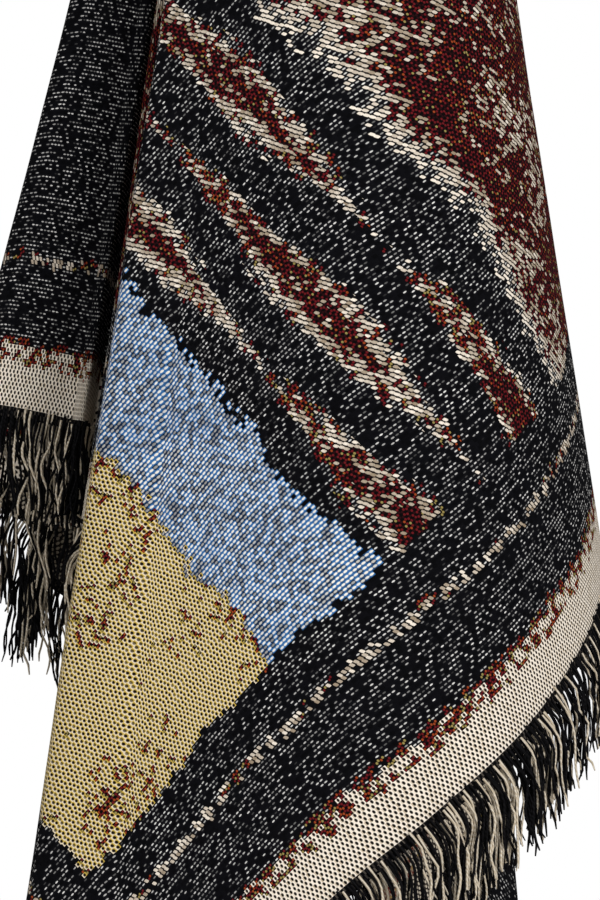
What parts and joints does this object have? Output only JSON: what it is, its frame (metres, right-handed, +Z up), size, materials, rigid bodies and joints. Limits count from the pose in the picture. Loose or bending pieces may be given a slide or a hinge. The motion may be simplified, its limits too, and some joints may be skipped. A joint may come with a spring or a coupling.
{
  "type": "throw blanket",
  "caption": "Woven tapestry throw with a yarn fringe on every side, hung from its middle so that it falls in long folds with pointed corners.",
  "frame": {"origin": "the hang point, inside the cloth's peak", "axes": "+Z up; -Y out of the broad front fold, towards someone who looks at it; -X towards the narrow fold set back on the left"},
  "size_m": [0.3299, 0.3477, 1.0266],
  "materials": {
    "cloth": "woven cotton, black ground with cream, red, ochre and blue",
    "fringe": "loose cotton yarn, black with some cream"
  },
  "bodies": {
    "root": {"cloth": "cloth", "fringe_a": "fringe", "fringe_b": "fringe", "fringe_c": "fringe", "fringe_d": "fringe"}
  },
  "joints": []
}
